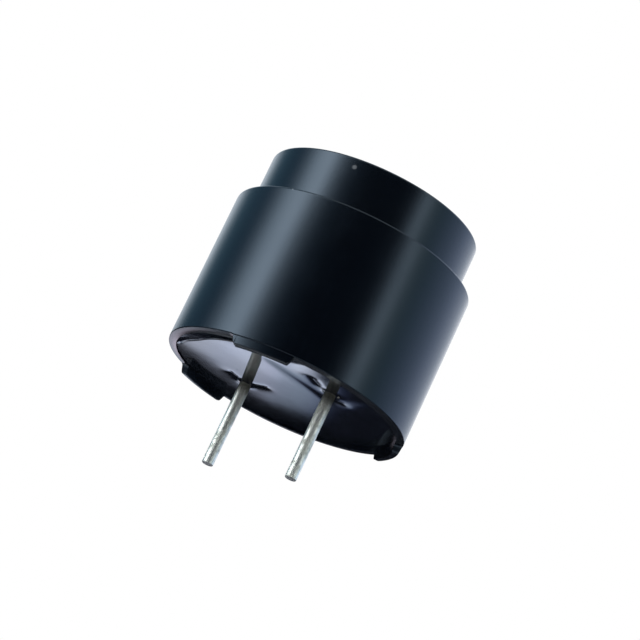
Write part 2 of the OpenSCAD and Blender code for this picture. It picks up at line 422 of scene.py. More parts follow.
@dataclass(frozen=True)
class PlatedSteel:
    """Punched steel with a thin bright plating."""

    name: str
    colour: Colour
    roughness: float
    grain: Point3 = (6.0, 6.0, 6.0)
    grain_mm: float = 0.004
    stained: float = 0.7

    def build(self) -> Material:
        """Makes the material."""
        graph = Graph.of_material(self.name)
        brushed = graph.noise(per_mm=1.0, octaves=3.0, rough=0.6, stretch=self.grain)
        stain = graph.noise(per_mm=0.6, octaves=3.0, rough=0.6).above(0.45, 0.75)
        return graph.surface(
            Base_Color=graph.blend(stain, self.colour, times(self.colour, self.stained)),
            Roughness=brushed.between(self.roughness * 0.8, self.roughness * 1.3),
            Metallic=1.0,
            Normal=graph.bump(brushed, self.grain_mm),
        )


@dataclass(frozen=True)
class PressedPowder:
    """Sintered or moulded material with an open grain, such as ferrite or chip epoxy."""

    name: str
    colour: Colour
    fleck: Colour
    roughness: float
    grain_mm: float = 0.02

    def build(self) -> Material:
        """Makes the material."""
        graph = Graph.of_material(self.name)
        grain = graph.noise(per_mm=5.0, octaves=5.0, rough=0.7)
        chips = graph.specks(per_mm=2.2, radius=0.16, share=0.2)
        return graph.surface(
            Base_Color=graph.blend(grain.above(0.45, 0.75), self.colour, self.fleck),
            Roughness=grain.between(self.roughness * 0.85, self.roughness * 1.1),
            Normal=graph.bump(grain - chips * 0.5, self.grain_mm),
        )


@dataclass(frozen=True)
class MilkyNylon:
    """Pale natural nylon, which lets a little light in."""

    name: str
    colour: Colour
    shaded: float = 0.86
    depth_mm: float = 0.4
    grain_mm: float = 0.006

    def build(self) -> Material:
        """Makes the material."""
        graph = Graph.of_material(self.name)
        cloud = graph.noise(per_mm=0.8, octaves=3.0, rough=0.5)
        fine = graph.noise(per_mm=8.0, octaves=2.0, rough=0.5)
        return graph.surface(
            Base_Color=graph.blend(cloud.above(0.35, 0.7), self.colour, times(self.colour, self.shaded)),
            Roughness=fine.between(0.38, 0.55),
            Normal=graph.bump(fine, self.grain_mm),
            Subsurface_Weight=0.15,
            Subsurface_Scale=self.depth_mm * MM,
        )


@dataclass(frozen=True)
class EnamelledWire:
    """Copper wire in clear coloured enamel; on a winding its turns lie side by side."""

    name: str
    bright: Colour
    deep: Colour
    turns_per_mm: float
    turn_mm: float = 0.03

    def build(self) -> Material:
        """Makes the material."""
        graph = Graph.of_material(self.name)
        height = graph.axes(graph.place)[2]
        wave = (height * (2.0 * math.pi * self.turns_per_mm)).sine() * 0.5 + 0.5
        cloud = graph.noise(per_mm=2.0, octaves=3.0, rough=0.5)
        return graph.surface(
            Base_Color=graph.blend(wave * 0.6 + cloud * 0.4, self.deep, self.bright),
            Roughness=cloud.between(0.2, 0.34),
            Metallic=1.0,
            Normal=graph.bump(wave, self.turn_mm),
        )


@dataclass(frozen=True)
class BoardLaminate:
    """Circuit board laminate in green solder mask, with copper tracks under it."""

    name: str
    mask: Colour
    track: Colour
    weave_pace: float = 12.0
    track_mm: float = 0.02

    def build(self) -> Material:
        """Makes the material."""
        graph = Graph.of_material(self.name)
        across, along, _ = graph.axes(graph.place)
        weave = (across * self.weave_pace).sine() * (along * self.weave_pace).sine() * 0.5 + 0.5
        patches = graph.noise(per_mm=0.35, octaves=1.0, rough=0.3, stretch=(1.0, 1.0, 0.0))
        track = patches.above(0.48, 0.5) * (1.0 - patches.above(0.56, 0.58))
        return graph.surface(
            Base_Color=graph.blend(track, graph.blend(weave * 0.3, self.mask, self.track), self.track),
            Roughness=weave.between(0.3, 0.42),
            Normal=graph.bump(track + weave * 0.2, self.track_mm),
        )


class Finish(Enum):
    """The finishes of the buzzer's pieces, one for each material slot of the record."""

    CASE = MouldedPlastic(
        "case_plastic", body=(0.0005, 0.001, 0.003), worn=(0.0012, 0.0022, 0.005),
        sheen=(0.6, 0.79, 1.0), roughness=0.25, grain_mm=0.004, fleck=(3.68, -6.013, 13.45),
    )
    RESIN = PouredResin(
        "potting_resin", body=(0.0022, 0.0028, 0.0045), sheen=(0.82, 0.82, 1.0), roughness=0.07
    )
    # The pin's root colour, between its two heights, is painted shade.
    PIN = TinnedWire(
        "tinned_pin", bright=(0.9, 0.92, 0.86), dull=(0.7, 0.72, 0.66), cut=(0.3, 0.31, 0.33),
        root_shade=(0.1, 0.1, 0.075), tip_z=-5.0, root_shade_from=-0.1, root_shade_to=0.9, roughness=0.44,
    )
    SPRING = PlatedSteel("spring_steel", (0.62, 0.64, 0.66), 0.22, (2.0, 14.0, 2.0))
    IRON = PlatedSteel("plated_iron", (0.50, 0.52, 0.54), 0.34)
    SOLDER = PlatedSteel("solder_tin", (0.70, 0.71, 0.72), 0.24, (3.0, 3.0, 3.0))
    RING = MouldedPlastic(
        "ring_plastic", body=(0.02, 0.021, 0.023), worn=(0.035, 0.036, 0.04), sheen=WHITE,
        roughness=0.5, grain_mm=0.01,
    )
    FERRITE = PressedPowder("ferrite", (0.035, 0.036, 0.04), (0.08, 0.08, 0.085), 0.62)
    NYLON = MilkyNylon("bobbin_nylon", (0.80, 0.77, 0.68))
    RED_WIRE = EnamelledWire("red_enamelled_copper", (0.56, 0.17, 0.06), (0.2, 0.04, 0.015), 6.0)
    AMBER_WIRE = EnamelledWire("amber_enamelled_copper", (0.68, 0.34, 0.1), (0.3, 0.1, 0.02), 8.0)
    BOARD = BoardLaminate("board_laminate", (0.012, 0.075, 0.03), (0.04, 0.19, 0.07))
    CHIP_EPOXY = PressedPowder("component_epoxy", (0.018, 0.018, 0.02), (0.03, 0.03, 0.033), 0.5)
    CHIP_CERAMIC = PressedPowder("component_ceramic", (0.03, 0.032, 0.036), (0.05, 0.05, 0.055), 0.4)

    @cache
    def material(self) -> Material:
        """The finish's one material, made when it is first asked for."""
        return self.value.build()


def dress(piece: Object, finish: Finish) -> None:
    """Gives a piece one finish.

    Args:
        piece: a new piece or a node of the frame.
        finish: its finish.
    """
    piece.data.materials.clear()
    piece.data.materials.append(finish.material())
    "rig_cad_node" not in piece


# ---------------- meshes


def arc(centre: Point2, radius: float, start: float, end: float, steps: int) -> list[Point2]:
    """Points along an arc of some chords between two angles in degrees, both ends among them."""
    turns = [math.radians(start + (end - start) * i / steps) for i in range(steps + 1)]
    return [(centre[0] + radius * math.cos(t), centre[1] + radius * math.sin(t)) for t in turns]


def direction(turn: float, rise: float) -> Point3:
    """The direction that is turned from the X axis and rises above the horizon, in degrees."""
    t, e = math.radians(turn), math.radians(rise)
    return math.cos(t) * math.cos(e), math.sin(t) * math.cos(e), math.sin(e)


def ease(share: float) -> float:
    """A smooth step over 0 to 1."""
    share = max(0.0, min(1.0, share))
    return share * share * (3.0 - 2.0 * share)


def mesh_piece(
    name: str, points: Sequence[Point3], faces: Sequence[Sequence[int]], weld: bool = False
) -> Object:
    """Makes a smooth-shaded piece that keeps its hard edges.

    Args:
        name: the piece's name.
        points: its vertices, in millimetres.
        faces: the vertex numbers of each face.
        weld: whether vertices at one place are joined.

    Returns:
        The new object, in the scene.
    """
    mesh = bpy.data.meshes.new(name)
    mesh.from_pydata([Vector(p) * MM for p in points], [], faces)
    work = bmesh.new()
    work.from_mesh(mesh)
    if weld:
        bmesh.ops.remove_doubles(work, verts=work.verts, dist=WELD)
    bmesh.ops.recalc_face_normals(work, faces=work.faces)
    work.to_mesh(mesh)
    work.free()
    mesh.shade_smooth()
    mesh.set_sharp_from_angle(angle=HARD_EDGE)
    piece = bpy.data.objects.new(name, mesh)
    bpy.context.scene.collection.objects.link(piece)
    return piece


def lathe(outline_at: Outline, turns: Sequence[float], closed: bool) -> Shape:
    """Sweeps an outline round the Z axis.

    Args:
        outline_at: gives the outline's radius and height pairs at an angle in degrees.
        turns: the angles of the columns, in rising order.
        closed: whether the outline's last point joins its first. If it doesn't, both of its
            ends lie on the axis.

    Returns:
        The points and the faces.
    """
    points: list[Point3] = []
    for turn in turns:
        c, s = math.cos(math.radians(turn)), math.sin(math.radians(turn))
        points += [(r * c, r * s, z) for r, z in outline_at(turn)]
    count = len(points) // len(turns)
    spans = count if closed else count - 1
    faces = []
    for i in range(len(turns)):
        here, there = i * count, ((i + 1) % len(turns)) * count
        for j in range(spans):
            k = (j + 1) % count
            faces.append((here + j, there + j, there + k, here + k))
    return points, faces


def turned_piece(name: str, outline_at: Outline, steps: int, axis_x: float = 0.0) -> Object:
    """A solid swept round an upright axis, whose outline starts and ends on that axis."""
    points, faces = lathe(outline_at, [360.0 * i / steps for i in range(steps)], False)
    return mesh_piece(name, [(x + axis_x, y, z) for x, y, z in points], faces, weld=True)


def box_mm(node: str) -> tuple[Vector, Vector]:
    """A frame node's lowest and highest corners, in millimetres."""
    low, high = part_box(node)
    return low / MM, high / MM


# ---------------- sub-assemblies


@dataclass
class CaseShell:
    """The moulded case: two stepped barrels, an open mouth, three feet and a sound port."""

    shoulder_z: float = 10.7
    cap_r: float = 7.05
    rim_z: float = 0.5
    mouth_r: float = 7.45
    mouth_top_z: float = 3.1
    bore_r: float = 7.15
    stop_z: float = 9.9
    chamber_r: float = 6.25
    wall: float = 0.8
    port_r: float = 1.3
    rim_round: float = 0.1
    shoulder_round: float = 0.15
    shoulder_fillet: float = 0.12
    top_round: float = 0.15
    port_round: float = 0.15
    foot_inset: float = 0.02
    foot_arc: float = 30.0
    foot_start: float = 61.0
    foot_count: int = 3
    foot_round: float = 0.05
    foot_draft: float = 0.12
    foot_end: float = 0.26
    rim_slope: float = 0.1
    rim_turn: float = -80.0
    lip_w: float = 0.3
    lip_rise: float = 0.04
    lip_turn: float = 241.0
    lip_arc: float = 90.0
    columns: int = 240
    steps: ClassVar[int] = 6
    steps_past: ClassVar[int] = 2
    lip_steps: ClassVar[int] = 4

    def __post_init__(self) -> None:
        """Takes the outer sizes from the frame, and works out the arc of a foot's end in degrees."""
        low, high = box_mm("case")
        self.body_r = high.x
        self.foot_z = low.z
        self.top_z = high.z
        self.end_arc = math.degrees(self.foot_end / self.mouth_r)

    def _foot_share(self, turn: float) -> float:
        """How far the rim is drawn down into a foot at an angle.

        Args:
            turn: the angle, in degrees.

        Returns:
            0 on the plain rim and 1 on a foot, with a rounded slope between.
        """
        pitch = 360.0 / self.foot_count
        off = abs((turn - self.foot_start + pitch / 2) % pitch - pitch / 2)
        return ease((self.foot_arc / 2 - off) / self.end_arc)

    def _turns(self) -> list[float]:
        """The angles of the columns, with close ones where a foot begins and ends."""
        turns = {round(360.0 * i / self.columns, 4) for i in range(self.columns)}
        for i in range(self.foot_count):
            middle = self.foot_start + i * 360.0 / self.foot_count
            for side in (-1.0, 1.0):
                end = middle + side * self.foot_arc / 2
                for k in range(self.steps + self.steps_past + 1):
                    turns.add(round((end - side * k / self.steps * self.end_arc) % 360.0, 4))
        return sorted(turns)

    def _outline(self, turn: float) -> list[Point2]:
        """The wall's closed outline at an angle, in radius and height.

        Args:
            turn: the angle, in degrees.

        Returns:
            The points, from the mouth's edge round the outside and back inside.
        """
        share = self._foot_share(turn)
        foot_r = self.body_r - self.foot_inset
        foot_z = self.rim_z + (self.foot_z - self.rim_z) * share
        bevel = self.foot_round * share
        aside = abs((turn - self.lip_turn + 180.0) % 360.0 - 180.0)
        lip = self.lip_rise * (1.0 - share) if aside < self.lip_arc / 2 else 0.0
        foot_rise = (foot_r - self.mouth_r) * self.rim_slope + lip
        rim_rise = (self.body_r - self.rim_round - self.mouth_r) * self.rim_slope + lip
        step_z = max(self.rim_z + foot_rise, foot_z + foot_rise + bevel)
        lean = (step_z - foot_z - foot_rise - bevel) * self.foot_draft
        inner_r = self.mouth_r + (self.rim_z - foot_z) * self.foot_draft
        points = []
        for k in range(self.lip_steps + 1):
            out = k / self.lip_steps
            rise = out * self.lip_w * self.rim_slope + lip * (1.0 - (1.0 - out) ** 2)
            points.append((inner_r + out * self.lip_w, foot_z + rise))
        points += [
            (foot_r - bevel - lean, foot_z + foot_rise),
            (foot_r - lean, foot_z + foot_rise + bevel),
            (foot_r, step_z),
        ]
        corners = (
            (self.body_r, self.rim_z + rim_rise, self.rim_round, -1, 1, self.rim_turn, 0),
            (self.body_r, self.shoulder_z, self.shoulder_round, -1, -1, 0, 90),
            (self.cap_r, self.shoulder_z, self.shoulder_fillet, 1, 1, 270, 180),
            (self.cap_r, self.top_z, self.top_round, -1, -1, 0, 90),
            (self.port_r, self.top_z, self.port_round, 1, -1, 90, 180),
        )
        for r, z, radius, out, up, start, end in corners:
            points += arc((r + out * radius, z + up * radius), radius, start, end, self.steps)
        points += [
            (self.port_r, self.top_z - self.wall),
            (self.chamber_r, self.top_z - self.wall),
            (self.chamber_r, self.stop_z),
            (self.bore_r, self.stop_z),
            (self.bore_r, self.mouth_top_z),
            (self.mouth_r, self.mouth_top_z),
            (self.mouth_r, self.rim_z + self.rim_round / 2),
        ]
        return points

    def build(self) -> Object:
        """Makes the case and hides the frame's plainer one."""
        points, faces = lathe(self._outline, self._turns(), True)
        shell = mesh_piece("case_shell", points, faces)
        dress(shell, Finish.CASE)
        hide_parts("case")
        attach(shell, ROOT)
        return shell


@dataclass(frozen=True)
class Mark:
    """A straight mark on the resin's face, from one place to another."""

    start: Point2
    end: Point2

    def _beside(self, x: float, y: float) -> Point2:
        """Measures a place from the mark's line.

        Args:
            x: the place across.
            y: the place along.

        Returns:
            How far it lies past the line's ends, 0 between them, and how far to its right.
        """
        run = (self.end[0] - self.start[0], self.end[1] - self.start[1])
        off = (x - self.start[0], y - self.start[1])
        length = math.hypot(*run)
        along = (off[0] * run[0] + off[1] * run[1]) / length
        aside = (off[0] * run[1] - off[1] * run[0]) / length
        return max(0.0, -along, along - length), aside


@dataclass(frozen=True)
class Dent(Mark):
    """A short creased dent beside a pin, between two places measured from the pin's axis."""

    width: float = 0.3
    depth: float = 0.045

    def rise(self, x: float, y: float) -> float:
        """How far the dent lifts the face, in millimetres."""
        return self.depth * math.exp(-math.hypot(*self._beside(x, y)) / self.width)


@dataclass(frozen=True)
class Lap(Mark):
    """The step down from one pour of resin to the next."""

    width: float = 0.42
    step: float = 0.04

    def rise(self, x: float, y: float) -> float:
        """How far the lap lifts the face, in millimetres."""
        past, aside = self._beside(x, y)
        return math.exp(-(past**2)) * self.step * (0.5 + 0.5 * math.tanh(aside / self.width))


@dataclass
class ResinFill:
    """The poured resin in the open base.

    It filled the base as it lay tilted, so one side is flush with the rim. Its shape is given
    in a flow frame, which is turned from the object's: x runs from that side to the other.
    """

    flow_turn: float = 48.96
    rim_z: float = 0.5
    face_z: float = 0.88
    tilt: float = 0.028
    dish_along: float = 0.00437
    dish_across: float = 0.0015
    groove_from: float = 6.45
    groove_w: float = 0.04
    groove: float = 0.035
    groove_start: float = 176.0
    groove_end: float = 260.0
    groove_ease: float = 10.0
    tip_shift: float = 0.7
    tip_arc: float = 26.0
    edge_gap: float = -0.02
    pin_rise: float = 0.06
    pin_reach: float = 0.12
    pin_r: float = 0.375
    board_r: float = 7.4
    swell: float = 0.004
    swell_pace: Point2 = (0.9, 0.8)
    swell_start: Point2 = (0.8, -0.4)
    lap: Lap = Lap((-1.5, -3.95), (2.2, -1.35))
    dents: tuple[tuple[Dent, ...], ...] = (
        (Dent((-1.38, -1.45), (-0.88, -0.62)), Dent((0.55, 1.0), (1.0, 1.0), 0.3, 0.03)),
        (Dent((-1.12, -0.95), (-0.7, -0.58)), Dent((0.62, -0.6), (1.2, -1.03), 0.24)),
    )
    rings: int = 170
    columns: int = 360

    def __post_init__(self) -> None:
        """Takes the resin's place and the pins' places from the frame."""
        low, high = box_mm("potting")
        board_low, _ = box_mm("circuit_board")
        self.edge_r = high.x
        self.top_z = high.z
        self.board_z = board_low.z
        middles = [sum(c.x for c in box_mm(node)) / 2 for node in WirePins.NODES]
        self.pins = [self._flow(x, 0.0) for x in middles]

    def _flow(self, x: float, y: float) -> Point2:
        """A place of the object's frame, in the flow frame."""
        turn = math.radians(self.flow_turn)
        return x * math.cos(turn) + y * math.sin(turn), y * math.cos(turn) - x * math.sin(turn)

    def _basin(self, x: float, y: float) -> float:
        """Height of the plain tilted dish at a place of the flow frame."""
        return self.face_z + self.tilt * x - self.dish_across * x**2 - self.dish_along * y**2

    def _wetting(self, x: float, y: float) -> float:
        """The groove where the resin pulled away from its wetted side before it climbs to the rim.

        Args:
            x: the place across, in the flow frame.
            y: the place along, in the flow frame.

        Returns:
            The lift, in millimetres, which is negative where the resin climbs.
        """
        r = math.hypot(x, y)
        if r < self.groove_from:
            return 0.0
        turn = math.degrees(math.atan2(y, x)) % 360.0
        inside = min(turn - self.groove_start, self.groove_end - turn)
        past_tip = ease((turn - self.groove_start) / self.tip_arc)
        start = self.groove_from + self.tip_shift * (1.0 - past_tip)
        scale = self.edge_r / r
        room = max(0.0, self._basin(x * scale, y * scale) - self.rim_z - self.edge_gap)
        fall = max(0.0, min(1.0, (r - start) / self.groove_w))
        climb = max(0.0, r - start - self.groove_w) / (self.edge_r - start - self.groove_w)
        return ease(inside / self.groove_ease) * (self.groove * fall - climb * (self.groove + room))

    def _swell(self, x: float, y: float) -> float:
        """The slow waves that the resin set with, at a place of the object's frame."""
        across, along = (p * at + s for p, at, s in zip(self.swell_pace, (x, y), self.swell_start))
        return self.swell * math.sin(across) * math.cos(along)

    def height(self, x: float, y: float) -> float:
        """Height of the resin's open face.

        Args:
            x: the place on the object's X axis.
            y: the place on the object's Y axis.

        Returns:
            The height above the feet, in millimetres.
        """
        u, v = self._flow(x, y)
        z = self._basin(u, v) + self._wetting(u, v) + self.lap.rise(u, v) + self._swell(x, y)
        for (pin_u, pin_v), dents in zip(self.pins, self.dents):
            away = max(0.0, math.hypot(u - pin_u, v - pin_v) - self.pin_r)
            z -= self.pin_rise * math.exp(-away / self.pin_reach)
            z += sum(dent.rise(u - pin_u, v - pin_v) for dent in dents)
        return z

    def _outline(self, turn: float) -> list[Point2]:
        """The resin's outline at an angle in degrees, from the middle of its face to its top."""
        c, s, _ = direction(turn, 0.0)
        reaches = [self.edge_r * i / self.rings for i in range(self.rings + 1)]
        return [
            *((r, self.height(r * c, r * s)) for r in reaches),
            (self.edge_r, self.top_z),
            (self.board_r, self.top_z),
            (self.board_r, self.board_z),
            (0.0, self.board_z),
        ]

    def build(self) -> Object:
        """Makes the resin and hides the frame's plainer one."""
        resin = turned_piece("poured_resin", self._outline, self.columns)
        dress(resin, Finish.RESIN)
        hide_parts("potting")
        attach(resin, ROOT)
        return resin


@dataclass
class WirePins:
    """The two round wire pins, each flattened into ears in the resin, with a collar above."""

    NODES: ClassVar[tuple[str, str]] = ("positive_pin", "negative_pin")
    LEAST: ClassVar[float] = 1e-6

    pin_r: float = 0.375
    collar_r: float = 0.65
    collar_h: float = 0.3
    tip_round: float = 0.08
    tip_steps: int = 5
    ear_w: float = 1.2
    ear_t: float = 0.36
    ear_z: float = 0.93
    ear_h: float = 0.5
    ear_turn: float = 50.0
    steps: int = 72

    def _ear_reach(self, turn: float) -> float:
        """Distance from the axis to the ears' outline at an angle in degrees."""
        t = math.radians(turn - self.ear_turn)
        across = self.ear_w / 2 / max(self.LEAST, abs(math.cos(t)))
        along = self.ear_t / 2 / max(self.LEAST, abs(math.sin(t)))
        return min(across, along)

    def _piece(self, node: str) -> Object:
        """Makes one pin.

        Args:
            node: the frame's node that it stands for.

        Returns:
            The new pin.
        """
        low, high = box_mm(node)
        collar_top = box_mm("circuit_board")[0].z
        tip = (self.pin_r - self.tip_round, low.z + self.tip_round)

        def outline(turn: float) -> list[Point2]:
            """The pin's outline at an angle in degrees, from tip to top."""
            ear_r = self._ear_reach(turn)
            ear_top = self.ear_z + self.ear_h
            return [
                (0.0, low.z),
                *arc(tip, self.tip_round, -90, 0, self.tip_steps),
                (self.pin_r, self.ear_z),
                (ear_r, self.ear_z),
                (ear_r, ear_top),
                (self.pin_r, ear_top),
                (self.pin_r, collar_top - self.collar_h),
                (self.collar_r, collar_top - self.collar_h),
                (self.collar_r, collar_top),
                (self.pin_r, collar_top),
                (self.pin_r, high.z),
                (0.0, high.z),
            ]

        return turned_piece(f"{node}_wire", outline, self.steps, (low.x + high.x) / 2)

    def build(self) -> list[Object]:
        """Makes both pins and hides the frame's plainer ones."""
        made = []
        for node in self.NODES:
            piece = self._piece(node)
            dress(piece, Finish.PIN)
            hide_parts(node)
            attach(piece, ROOT)
            made.append(piece)
        return made


@dataclass
class SealedWorks:
    """The pieces inside the case, which keep the frame's own shapes."""

    dressed: dict[Finish, tuple[str, ...]] = field(
        default_factory=lambda: {
            Finish.SPRING: ("sound_diaphragm",),
            Finish.IRON: ("armature_disc", "yoke_plate", "pole_core"),
            Finish.RING: ("diaphragm_ring",),
            Finish.FERRITE: ("ring_magnet",),
            Finish.NYLON: ("coil_bobbin", "insulating_ring"),
            Finish.RED_WIRE: ("drive_winding", "drive_lead", "common_lead"),
            Finish.AMBER_WIRE: ("feedback_winding", "feedback_lead"),
            Finish.BOARD: ("circuit_board",),
            Finish.CHIP_EPOXY: ("transistor", "clamp_diode"),
            Finish.SOLDER: ("transistor_legs", "positive_solder", "negative_solder", "lead_solder"),
            Finish.CHIP_CERAMIC: ("bias_resistor",),
        }
    )

    def build(self) -> list[Object]:
        """Dresses each node of the frame."""
        made = []
        for finish, nodes in self.dressed.items():
            for node in nodes:
                dress(frame["nodes"][node], finish)
                made.append(frame["nodes"][node])
        return made


# ---------------- studio

Stops = tuple[tuple[float, Colour], ...]
Fades = tuple[tuple[float, float], ...]

DARK = (0.01, 0.012, 0.02)
SOFT_EDGE = (
    (-2.1, 0.02), (-1.65, 0.07), (-1.3, 0.18), (-1.0, 0.33), (-0.7, 0.55), (-0.35, 0.85), (0.0, 1.0),
)


def even(start: float, end: float, light: Colour) -> Stops:
    """The stops of a cloth with one light from end to end."""
    return (start, light), (end, light)


def soft_edge(full: float) -> Fades:
    """The fades of a cloth's soft lower edge, up to the elevation of its full light."""
    return tuple((round(full + off, 2), part) for off, part in SOFT_EDGE)


@dataclass(frozen=True)
class TentCloth:
    """One cloth of the light tent, a piece of a sphere seen only in reflections.

    Its stops pair a direction, in degrees to the left of the camera's right, with the cloth's
    light there. Its fades pair an elevation, in degrees, with the part of that light it has.
    Its lean is how far it rises for each degree to the left.
    """

    name: str
    low: float
    high: float
    stops: Stops
    fades: Fades = ()
    reach: float = 240.0
    lean: float = 0.0


TENT = (
    TentCloth("tent_wall", -1, 75, (
        (0, (0.6, 0.76, 0.98)), (30, (0.85, 1.02, 1.38)), (60, (1.05, 1.15, 1.32)),
        (74, (1.5, 1.55, 1.65)), (90, (1.75, 1.8, 1.9)), (98, (1.1, 1.2, 1.3)),
        (118, (1, 1.15, 1.3)), (128, (0.55, 0.72, 0.85)), (136, (0.14, 0.3, 0.42)),
        (168, (0.12, 0.26, 0.38)), (180, (0.8, 1, 1.15)), (190, (3, 3.35, 3.55)),
        (200, (5.1, 5.25, 5.35)), (208, (5.8, 5.9, 6)), (217, (1.4, 1.5, 1.55)),
        (231, (0.1, 0.16, 0.2)), (250, (0.01, 0.02, 0.03)), (303, (0, 0.01, 0.02)),
        (311, (0.6, 0.65, 0.7)), (316, (2.5, 2.6, 2.6)), (322, (2, 2.1, 2.1)),
        (328, (0.6, 0.75, 0.75)), (340, (0.38, 0.55, 0.62)), (360, (0.6, 0.76, 0.98)),
    )),
    TentCloth("tent_top", 75, 90, even(0, 360, (0.3, 0.33, 0.36))),
    TentCloth("tent_skirt", -65, -1, (
        (150, (0.6, 0.8, 1)), (176, (0.6, 0.8, 1.1)), (190, (1.8, 1.9, 2)),
        (212, (1.8, 1.9, 2)), (228, (0.06, 0.1, 0.16)), (300, (0.05, 0.08, 0.14)),
        (314, (1.2, 1.25, 1.3)), (324, (1, 1.05, 1.1)), (338, (0.35, 0.4, 0.5)),
        (400, (0.4, 0.5, 0.6)), (420, (0.01, 0.01, 0.02)),
    ), ((-65, 0.3), (-30, 0.5), (-24, 0.1), (-1, 0.15))),
    TentCloth("tent_hood", 48, 75, (
        (180, (0.3, 0.3, 0.3)), (200, (0.8, 0.85, 0.8)), (225, (1.2, 1.25, 1.2)),
        (290, (1.2, 1.25, 1.2)), (320, (0.8, 0.85, 0.8)), (350, (0.3, 0.3, 0.3)),
    ), reach=220),
    TentCloth("right_card", -24, -10.9, (
        (87.2, (0.004, 0.006, 0.02)), (87.6, (0.02, 0.03, 0.07)), (87.85, (0.16, 0.2, 0.34)),
        (88.1, (0.42, 0.52, 0.76)), (88.5, (0.58, 0.73, 0.96)), (89.4, (0.74, 0.86, 1.12)),
    ), (
        (-24, 0), (-19.1, 0), *soft_edge(-16.35), (-12.6, 1), (-11.5, 1.6), (-10.9, 1.8),
    ), 200, -0.6),
    TentCloth("wedge_card", -12.6, -9, (
        (88.3, DARK), (88.5, (0.1, 0.12, 0.18)), (88.65, (0.65, 0.75, 0.95)),
        (88.85, (1.1, 1.2, 1.5)), (89.05, (1.6, 1.8, 2.2)), (89.4, (1.7, 1.9, 2.3)),
    ), ((-12.6, 0.65), (-11.6, 0.85), (-10.4, 1), (-9, 1)), 196),
    TentCloth("left_card", -25.3, -9, (
        (89.4, (0.74, 0.86, 1.12)), (89.9, (0.95, 1.04, 1.34)), (90.8, (1.14, 1.27, 1.56)),
        (91.5, (1.18, 1.32, 1.67)), (92.25, (1.22, 1.34, 1.63)), (93.3, (1.34, 1.42, 1.7)),
    ), (
        (-25.3, 0), (-20.4, 0), *soft_edge(-17.67), (-15.2, 1), (-14.2, 1.35),
        (-13.1, 1.55), (-9, 1.6),
    ), 200, 0.85),
    TentCloth("rim_card", -30, -3, (
        (93.6, (0.02, 0.03, 0.06)), (94.3, (0.2, 0.28, 0.36)), (95.5, (0.7, 0.85, 1)),
        (96.5, (1, 1.25, 1.45)), (97.2, (1.3, 1.5, 1.7)), (97.7, (1.75, 1.6, 1.9)),
        (112, (1.75, 1.6, 1.9)),
    ), (
        (-30, 0), (-26, 0.05), (-25.2, 0.12), (-24.4, 0.4), (-23.4, 0.8), (-22.7, 1),
        (-8, 1), (-5.5, 0.3), (-3, 0.1),
    ), 200, 0.56),
    TentCloth("dark_cap", -11.2, 11, even(90.3, 93.5, DARK), reach=190),
    TentCloth("bevel_card", -62, -20, (
        (128, (0.9, 1.1, 1.25)), (138, (1.1, 1.3, 1.45)), (150, (0.6, 0.8, 0.9)),
    ), reach=200),
    TentCloth("dark_card", -65, 11, even(60, 150, DARK), reach=210),
    TentCloth("dark_table", -90, -65, even(0, 360, (0.02, 0.02, 0.03)), reach=110),
)


@dataclass(frozen=True)
class SoftLamp:
    """A square soft lamp, with its angles from the camera's right and the horizon and its watts."""

    name: str
    turn: float
    rise: float
    reach: float
    side: float
    power: float

    def hang(self, azimuth: float) -> Object:
        """Hangs the lamp so that it points at the object.

        Args:
            azimuth: the direction of the camera's right, in degrees.

        Returns:
            The lamp, which neither the camera nor the gloss sees.
        """
        data = bpy.data.lights.new(self.name, "AREA")
        data.shape, data.size, data.energy = "SQUARE", self.side * MM, self.power
        lamp = bpy.data.objects.new(self.name, data)
        away = Vector(direction(self.turn + azimuth, self.rise))
        lamp.location = away * self.reach * MM
        lamp.rotation_mode = "QUATERNION"
        lamp.rotation_quaternion = (-away).to_track_quat("-Z", "Y")
        lamp.visible_camera = lamp.visible_glossy = False
        bpy.context.scene.collection.objects.link(lamp)
        return lamp


